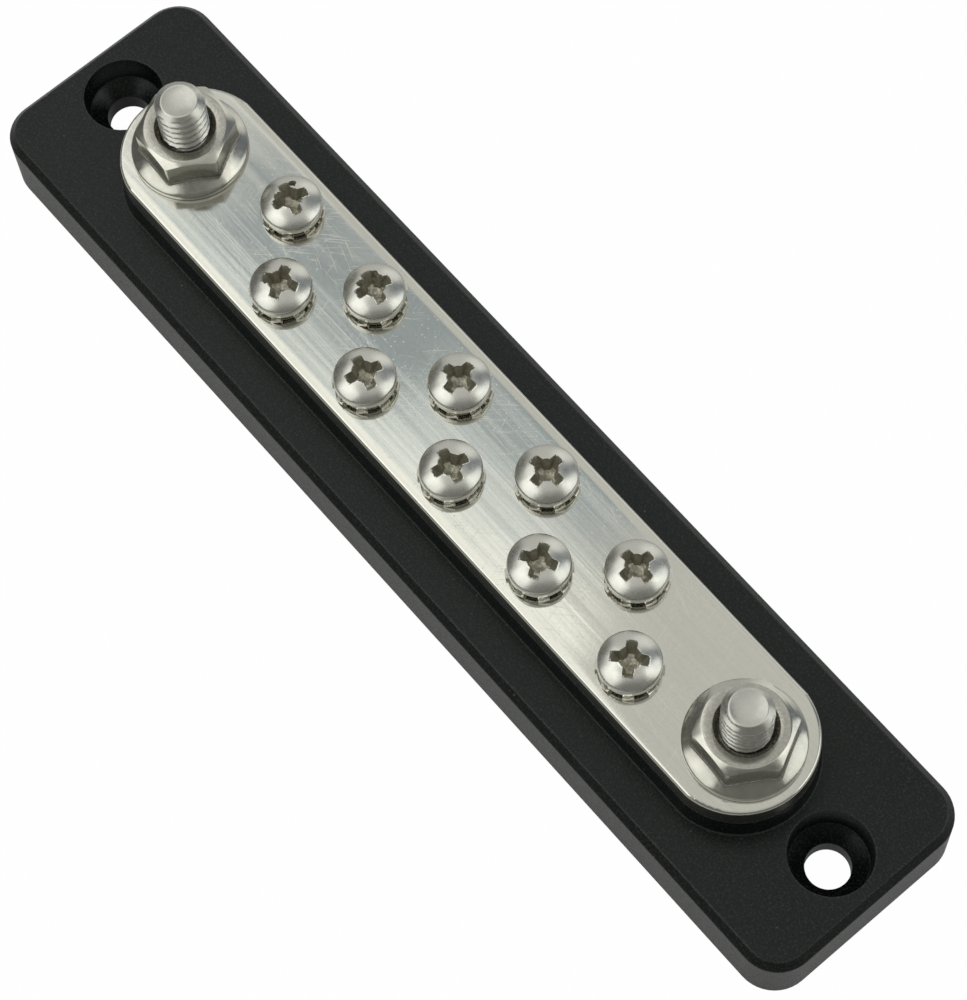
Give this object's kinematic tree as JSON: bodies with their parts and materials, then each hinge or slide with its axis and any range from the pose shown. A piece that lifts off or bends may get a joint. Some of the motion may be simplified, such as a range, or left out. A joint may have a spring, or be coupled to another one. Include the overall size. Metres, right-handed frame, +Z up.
{
  "type": "bus bar",
  "caption": "Flat plated bar on a black moulded base, with a threaded stud and flange nut near each end, rows of pan-head terminal screws on toothed washers, and screw-down holes",
  "frame": {"origin": "under the middle of the base, on the plane it stands on", "axes": "+X along the bar, +Y across it, +Z up out of the base; the screw nearest the -X end is in the +Y row"},
  "size_m": [0.15, 0.0314, 0.0285],
  "materials": {
    "base": "fine-grained moulded black",
    "bar": "plated, drawn lengthwise",
    "stud": "bright rolled thread",
    "nut": "satin",
    "screw": "satin",
    "washer": "satin"
  },
  "bodies": {
    "root": {"base": "base", "bar": "bar", "stud_1": "stud", "stud_2": "stud", "flange_nut_1": "nut", "flange_nut_2": "nut", "terminal_screw_01": "screw", "terminal_screw_02": "screw", "terminal_screw_03": "screw", "terminal_screw_04": "screw", "terminal_screw_05": "screw", "terminal_screw_06": "screw", "terminal_screw_07": "screw", "terminal_screw_08": "screw", "terminal_screw_09": "screw", "terminal_screw_10": "screw", "lock_washer_01": "washer", "lock_washer_02": "washer", "lock_washer_03": "washer", "lock_washer_04": "washer", "lock_washer_05": "washer", "lock_washer_06": "washer", "lock_washer_07": "washer", "lock_washer_08": "washer", "lock_washer_09": "washer", "lock_washer_10": "washer"}
  },
  "joints": []
}
